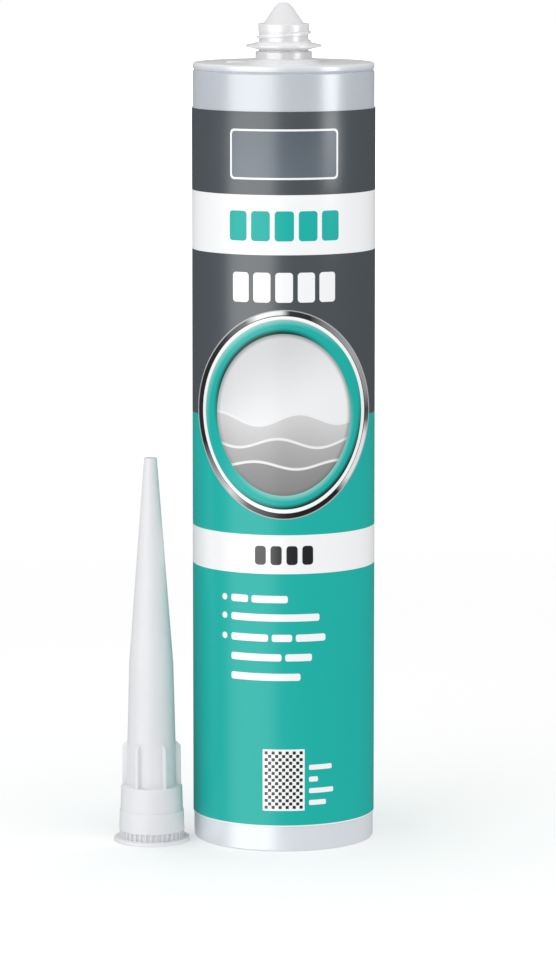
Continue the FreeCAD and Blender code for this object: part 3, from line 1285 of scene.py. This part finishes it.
class CARTRIDGE_OT_emblem(bpy.types.Operator):
    """Prints the round emblem: dark rim, silver line, coloured ring and pale disc of soft waves"""

    bl_idname = "cartridge.emblem"
    bl_label = "Emblem"

    overlap = 0.0002
    outline = 0.0003
    soft = 0.0001
    shadow = 0.0016
    line_edge = 0.0007
    seen_flat = 0.85
    rim_streaks = (
        (0.0, 0.05), (0.03, 0.3), (0.1, 0.38), (0.17, 0.2), (0.2, 0.02), (0.24, 0.03), (0.255, 0.85),
        (0.3, 0.9), (0.325, 0.1), (0.37, 0.015), (0.55, 0.01), (0.6, 0.3), (0.64, 0.6),
        (0.68, 0.06), (0.72, 0.01), (0.86, 0.01), (0.89, 0.8), (0.96, 0.85), (0.985, 0.1), (1.0, 0.05),
    )
    waves = ((-0.001, 0.0016, 0.4, 0.52), (-0.0075, 0.0013, 2.0, 0.36), (-0.0135, 0.001, 3.7, 0.24))
    ripple = 230.0
    deep_teal = (0.0, 0.045, 0.035, 1.0)
    pale_teal = (0.75, 0.95, 0.93, 1.0)
    sky = (0.86, 0.87, 0.88, 1.0)
    dim_sky = (0.32, 0.33, 0.34, 1.0)
    crest = (0.84, 0.85, 0.86, 1.0)
    depth = (0.06, 0.07, 0.07, 1.0)

    def execute(self, context):
        size = context.scene.cartridge_label
        finish = context.scene.cartridge_finish
        deep = -size.sink
        centre = [(0.0, size.emblem_height)]

        def rim_colour(tree, place):
            where = about_emblem(tree, place, size)
            streak = greys(tree, where["Turn"], self.rim_streaks)
            outer = size.emblem_radius - self.outline
            inner = size.emblem_line + self.outline
            lit = ramp(tree, where["Distance"], outer, outer + self.soft)
            dark = ramp(tree, where["Distance"], inner, inner - self.soft)
            return blend_colours(tree, dark, blend_colours(tree, lit, streak, finish.silver), finish.black)

        def line_colour(tree, place):
            where = about_emblem(tree, place, size)
            inward = ramp(tree, where["Distance"], size.emblem_line - self.line_edge, size.emblem_ring)
            shade = calc(tree, "MULTIPLY", inward, ramp(tree, facing(tree, where, 2.2), -0.4, 0.6))
            return blend_colours(tree, shade, finish.white, finish.silver)

        def ring_colour(tree, place):
            where = about_emblem(tree, place, size)
            outward = ramp(tree, where["Distance"], size.emblem_disc, size.emblem_ring, -1.0, 1.0)
            light = calc(tree, "MULTIPLY", facing(tree, where, 2.1), outward)
            plain = ramp(tree, light, -0.85, -0.1, smooth=True)
            made = blend_colours(tree, plain, self.deep_teal, finish.teal)
            return blend_colours(tree, ramp(tree, light, 0.15, 1.0, 0.0, 0.36), made, self.pale_teal)

        def disc_colour(tree, place):
            where = about_emblem(tree, place, size)
            across, up = where["Across"], where["Up"]
            slant = calc(tree, "ADD", calc(tree, "MULTIPLY", across, -0.5), up)
            shade = ramp(tree, slant, -0.004, 0.024, 0.0, 0.42, smooth=True)
            made = blend_colours(tree, shade, self.sky, self.dim_sky)
            for level, swell, phase, dark in self.waves:
                wave = calc(tree, "SINE", calc(tree, "MULTIPLY_ADD", across, self.ripple, phase))
                edge = calc(tree, "SUBTRACT", up, calc(tree, "MULTIPLY_ADD", wave, swell, level))
                below = ramp(tree, edge, 0.00012, -0.00012)
                on_crest = ramp(tree, edge, -0.0008, -0.0006)
                field = grey(tree, ramp(tree, edge, 0.0, -0.012, dark * 1.25, dark * 0.85))
                made = blend_colours(tree, below, made, blend_colours(tree, on_crest, field, self.crest))
            shaded = size.emblem_disc - self.shadow
            rim = ramp(tree, where["Distance"], shaded, size.emblem_disc, smooth=True)
            shade = calc(tree, "MULTIPLY", rim, ramp(tree, facing(tree, where, 1.3), -1.0, 0.5, 0.25, 0.6))
            return blend_colours(tree, shade, made, self.depth)

        metal, dyed = finish.emblem_gloss, finish.teal_gloss
        rings = (
            ("emblem_rim", size.emblem_line, size.emblem_radius, 0.4, "Emblem rim ink", rim_colour, metal),
            ("emblem_line", size.emblem_ring, size.emblem_line, 0.6, "Emblem line ink", line_colour, metal),
            ("emblem_ring", size.emblem_disc, size.emblem_ring, 0.8, "Emblem ring ink", ring_colour, dyed),
            ("emblem_disc", 0.0, size.emblem_disc, 0.6, "Emblem disc ink", disc_colour, dyed),
        )
        for name, inner, outer, level, title, drawn, gloss in rings:
            inner = max(0.0, inner - self.overlap)
            flat = round_mesh(name, centre, inner, outer, deep, size.ink * level)
            flat.transform(Matrix.Scale(size.emblem_squeeze, 4, (1, 0, 0)))
            printed(name, flat, ink(title, None, finish, drawn, gloss), size, seen_flat=self.seen_flat)
        return {"FINISHED"}


class CARTRIDGE_OT_panel(bpy.types.Operator):
    """Prints the framed panel and the rows of plain blocks that stand where words were"""

    bl_idname = "cartridge.panel"
    bl_label = "Panel and blocks"

    corner = 0.0012
    block_corner = 0.0009
    middle = 0.00013
    rows = (
        ("blocks_upper", "teal", 0.15, 171.9, 31.4, 8.1, 5),
        ("blocks_middle", "white", 0.1, 155.3, 29.2, 8.1, 5),
        ("blocks_foot", "black", 0.1, 82.2, 16.1, 5.2, 4),
    )
    gap = 0.0013

    def execute(self, context):
        size = context.scene.cartridge_label
        finish = context.scene.cartridge_finish
        white = ink("White ink", finish.white, finish)
        frame = (self.middle, size.panel_height, size.panel_width, size.panel_tall, self.corner)
        print_bars("panel_frame", [frame], white, size, 0.5)

        def field_colour(tree, place):
            where = about_emblem(tree, place, size)
            low = size.panel_height - size.panel_tall / 2 - size.emblem_height
            rise = ramp(tree, where["Up"], low, low + size.panel_tall, 0.0, 0.35, smooth=True)
            return blend_colours(tree, rise, finish.panel, finish.grey)

        narrow = size.panel_width - 2 * size.panel_frame
        short = size.panel_tall - 2 * size.panel_frame
        field = (self.middle, size.panel_height, narrow, short, self.corner - size.panel_frame / 2)
        print_bars("panel_field", [field], ink("Panel ink", None, finish, field_colour), size)
        inks = {
            "teal": ink("Teal ink", finish.teal, finish, gloss=finish.teal_gloss),
            "white": white,
            "black": ink("Black ink", finish.black, finish),
        }
        for name, shade, middle, level, wide, tall, blocks in self.rows:
            step = (wide * MM + self.gap) / blocks
            first = middle * MM - step * (blocks - 1) / 2
            block = (first, level * MM, step - self.gap, tall * MM, self.block_corner)
            print_bars(name, [block], inks[shade], size, columns=blocks, step_across=step)
        return {"FINISHED"}


class CARTRIDGE_OT_list(bpy.types.Operator):
    """Prints the dots and the plain bars that stand where lines of words were"""

    bl_idname = "cartridge.list"
    bl_label = "List"

    left = -15.17
    tall = 2.0
    corner = 0.0006
    note_corner = 0.0004
    gap = 1.0
    lines = (
        (70.1, (5.2, 10.1)),
        (65.0, (25.2,)),
        (59.4, (10.9, 5.6, 8.5)),
        (54.0, (14.6, 7.4)),
        (48.6, (19.8,)),
    )
    dots = (-17.42, 0.88)
    notes = (7.04, 1.4, ((23.4, 6.8), (20.1, 2.6), (16.9, 7.3), (13.6, 5.0)))

    def execute(self, context):
        size = context.scene.cartridge_label
        finish = context.scene.cartridge_finish
        white = ink("White ink", finish.white, finish)
        bars = []
        for level, words in self.lines:
            left = self.left
            for word in words:
                bars.append(((left + word / 2) * MM, level * MM, word * MM, self.tall * MM, self.corner))
                left += word + self.gap
        left, tall, lines = self.notes
        for level, wide in lines:
            bars.append(((left + wide / 2) * MM, level * MM, wide * MM, tall * MM, self.note_corner))
        print_bars("list_bars", bars, white, size)
        side, radius = self.dots
        places = [(side * MM, level * MM) for level, _ in self.lines[:3]]
        dots = round_mesh("list_dots", places, 0.0, radius * MM, -size.sink, size.ink, segments=32)
        printed("list_dots", dots, white, size)
        return {"FINISHED"}


class CARTRIDGE_OT_code(bpy.types.Operator):
    """Prints the white code panel with a plain, even pattern of cells"""

    bl_idname = "cartridge.code"
    bl_label = "Code panel"

    margin = 0.0005
    corner = 0.0002
    cell_share = 0.9

    def execute(self, context):
        size = context.scene.cartridge_label
        finish = context.scene.cartridge_finish
        across = (size.code_width - 2 * self.margin) / size.code_columns
        up = (size.code_tall - 2 * self.margin) / size.code_rows
        panel = (size.code_side, size.code_height, size.code_width, size.code_tall, self.corner)
        print_bars("code_panel", [panel], ink("White ink", finish.white, finish), size, 0.5)
        left = size.code_side - across * (size.code_columns - 1) / 2
        foot = size.code_height - up * (size.code_rows - 1) / 2
        cell = (left, foot, across * self.cell_share, up * self.cell_share, self.corner / 2)
        print_bars(
            "code_cells",
            [cell],
            ink("Black ink", finish.black, finish),
            size,
            columns=size.code_columns,
            rows=size.code_rows,
            step_across=across,
            step_up=up,
            every=2,
        )
        return {"FINISHED"}


class CARTRIDGE_OT_nozzle(bpy.types.Operator):
    """Builds the loose nozzle with its flange, fine fins, wings and threaded socket"""

    bl_idname = "cartridge.nozzle"
    bl_label = "Nozzle"

    def execute(self, context):
        size = context.scene.cartridge_nozzle
        thread = context.scene.cartridge_thread
        finish = context.scene.cartridge_finish
        around = tree_for("ring", ring_tree)
        grip_top = size.flange_thickness + size.grip_height
        fin = plate(
            "nozzle_fin",
            [
                (size.grip_radius - size.fin_thickness, size.flange_thickness - 0.0002),
                (size.skirt_radius - 0.0001, size.flange_thickness - 0.0002),
                (size.skirt_radius - 0.0001, grip_top + 0.0002),
                (size.grip_radius - size.fin_thickness, grip_top + 0.0002),
            ],
            size.fin_thickness,
        )
        root = size.cone_radius - size.wing_taper - size.wall / 2
        foot = size.skirt_height - 0.0003
        slope_top = size.wing_height + size.wing_slope
        wing = plate(
            "nozzle_wing",
            [
                (root, foot),
                (size.wing_radius, foot),
                (size.wing_radius - size.wing_taper, size.wing_height),
                (size.cone_radius - size.wing_taper - 0.0001, slope_top),
                (root, slope_top),
            ],
            size.wing_thickness,
            0.00015,
        )
        fins = modified("nozzle_fins", fin, around, count=size.fins)
        wings = modified("nozzle_wings", wing, around, count=size.wings)
        ridge = thread_mesh(
            "nozzle_thread", thread, size.socket_radius, thread.socket_turns, inward=True
        )
        ridge.transform(Matrix.Translation((0, 0, size.socket_margin + thread.ridge / 2)))
        skin = turned("nozzle_body", nozzle_corners(size), segments=144)
        grown = united("nozzle_body", skin, [fins, wings, ridge])
        grown.transform(Matrix.Translation((NOZZLE_AXIS.x, NOZZLE_AXIS.y, 0)))
        material = plastic(
            "Nozzle plastic",
            finish.nozzle,
            finish.nozzle_roughness,
            cloud=0.025,
            IOR=1.5,
            **soft(0.25, 0.0015, 0.0015, 0.0018),
        )
        seated("nozzle_body", finish_mesh(grown, material), "cartridge", "nozzle_plastic", "nozzle")
        return {"FINISHED"}


def softbox(name, power, place, target, wide, tall, only_reflected):
    """Rectangular lamp that cameras don't see. A reflector panel is seen only in reflections."""
    lamp = bpy.data.lights.new(name, "AREA")
    lamp.shape = "RECTANGLE"
    lamp.size = wide
    lamp.size_y = tall
    lamp.energy = power
    made = piece(name, lamp)
    made.location = place
    made.rotation_euler = (Vector(target) - Vector(place)).to_track_quat("-Z", "Y").to_euler()
    made.visible_camera = False
    made.visible_diffuse = not only_reflected
    made.visible_glossy = only_reflected


class CARTRIDGE_OT_stage(bpy.types.Operator):
    """Sets the pale floor, the plain surroundings, the soft lamps and the camera"""

    bl_idname = "cartridge.stage"
    bl_label = "Stage"

    lamps = (
        ("key_lamp", "key_power", (-0.5, -0.6, 0.5), (0, 0, 0.1), 0.6, 0.6, False),
        ("top_lamp", "top_power", (0.0, -0.1, 0.9), (0, 0, 0.1), 0.8, 0.8, False),
        ("sheen_panel", "sheen_power", (-0.5, -0.57, 0.05), (0, 0, 0.05), 0.92, 1.3, True),
        ("strip_panel", "strip_power", (0.128, -0.083, 0.222), (0.013, -0.022, 0.222), 0.055, 0.085, True),
    )
    white = (1.0, 1.0, 1.0, 1.0)
    floor_roughness = 0.7
    floor_tone = (0.92, 0.95)
    floor_lift = (0.3, 2.5, 0.1, 1.0)

    def execute(self, context):
        scene = context.scene
        stage = scene.cartridge_stage
        self.floor(stage)
        self.surroundings(scene, stage)
        for name, power, *layout in self.lamps:
            softbox(name, getattr(stage, power), *layout)
        camera = bpy.data.cameras.new("camera")
        camera.lens = stage.focal_length
        camera.sensor_width = 36.0
        camera.clip_start = 0.01
        camera.clip_end = 50.0
        made = piece("camera", camera)
        made.location = (stage.camera_side, -stage.camera_back, stage.camera_height)
        made.rotation_euler = (math.pi / 2 - stage.camera_pitch, 0, 0)
        scene.camera = made
        scene.view_settings.view_transform = "Standard"
        return {"FINISHED"}

    def floor(self, stage):
        """Pale floor that keeps the shadows and is white away from them."""
        shape = bmesh.new()
        bmesh.ops.create_circle(shape, cap_ends=True, segments=96, radius=stage.floor_radius)
        floor = piece("floor", mesh_of("floor", shape, clean=False))
        material = bpy.data.materials.new("Pale floor")
        tree = emptied(material)
        place = tree.nodes.new("ShaderNodeTexCoord").outputs["Object"]
        away = add(tree, "ShaderNodeVectorMath", place, operation="LENGTH").outputs["Value"]
        tone = ramp(tree, noise(tree, place, 300.0, 2.0, 0.5), 0.0, 1.0, *self.floor_tone)
        matt = add(tree, "ShaderNodeBsdfPrincipled")
        path = tree.nodes.new("ShaderNodeLightPath").outputs
        seen = calc(tree, "MAXIMUM", path["Is Camera Ray"], path["Is Glossy Ray"])
        seen = calc(tree, "MAXIMUM", seen, path["Is Transmission Ray"])
        lift = calc(tree, "MULTIPLY", seen, ramp(tree, away, *self.floor_lift, smooth=True))
        looks = {"Base Color": grey(tree, tone), "Roughness": self.floor_roughness}
        looks.update({"Emission Color": self.white, "Emission Strength": lift})
        for label, value in looks.items():
            feed(tree, matt.inputs[label], value)
        clear = tree.nodes.new("ShaderNodeBsdfTransparent")
        behind = tree.nodes.new("ShaderNodeNewGeometry").outputs["Backfacing"]
        both = add(tree, "ShaderNodeMixShader", behind, matt, clear)
        add(tree, "ShaderNodeOutputMaterial", both)
        floor.data.materials.append(material)
        floor.visible_diffuse = False
        floor.visible_glossy = False
        floor.visible_shadow = False

    def surroundings(self, scene, stage):
        """Plain surroundings: soft for the light that falls, white for what is seen."""
        world = bpy.data.worlds.new("surroundings")
        tree = emptied(world)
        path = tree.nodes.new("ShaderNodeLightPath").outputs
        seen = calc(tree, "MAXIMUM", path["Is Camera Ray"], path["Is Transmission Ray"])
        level = ramp(tree, seen, 0.0, 1.0, stage.ambient, 1.0)
        strength = ramp(tree, path["Is Glossy Ray"], 0.0, 1.0, level, stage.reflected)
        light = add(tree, "ShaderNodeBackground", self.white, strength)
        add(tree, "ShaderNodeOutputWorld", light)
        scene.world = world


OPERATORS = (
    CARTRIDGE_OT_stage,
    CARTRIDGE_OT_barrel,
    CARTRIDGE_OT_plunger,
    CARTRIDGE_OT_sealant,
    CARTRIDGE_OT_label,
    CARTRIDGE_OT_panel,
    CARTRIDGE_OT_emblem,
    CARTRIDGE_OT_list,
    CARTRIDGE_OT_code,
    CARTRIDGE_OT_nozzle,
)


class CARTRIDGE_PT_panel(bpy.types.Panel):
    """Lists the steps and the sizes of the cartridge"""

    bl_idname = "CARTRIDGE_PT_panel"
    bl_label = "Sealant cartridge"
    bl_space_type = "VIEW_3D"
    bl_region_type = "UI"
    bl_category = "Cartridge"

    def draw(self, context):
        layout = self.layout
        for operator in OPERATORS:
            layout.operator(operator.bl_idname)
        for name, group in GROUPS.items():
            box = layout.box()
            box.label(text=group.__doc__)
            for label in group.__annotations__:
                box.prop(getattr(context.scene, name), label)


CLASSES = (*GROUPS.values(), *OPERATORS, CARTRIDGE_PT_panel)


def register():
    for cls in CLASSES:
        bpy.utils.register_class(cls)
    for name, group in GROUPS.items():
        setattr(bpy.types.Scene, name, bpy.props.PointerProperty(type=group))


def unregister():
    for name in GROUPS:
        delattr(bpy.types.Scene, name)
    for cls in reversed(CLASSES):
        bpy.utils.unregister_class(cls)


def main():
    register()
    for operator in OPERATORS:
        step = operator.bl_idname.split(".")[1]
        getattr(bpy.ops.cartridge, step)()


if __name__ == "__main__":
    main()
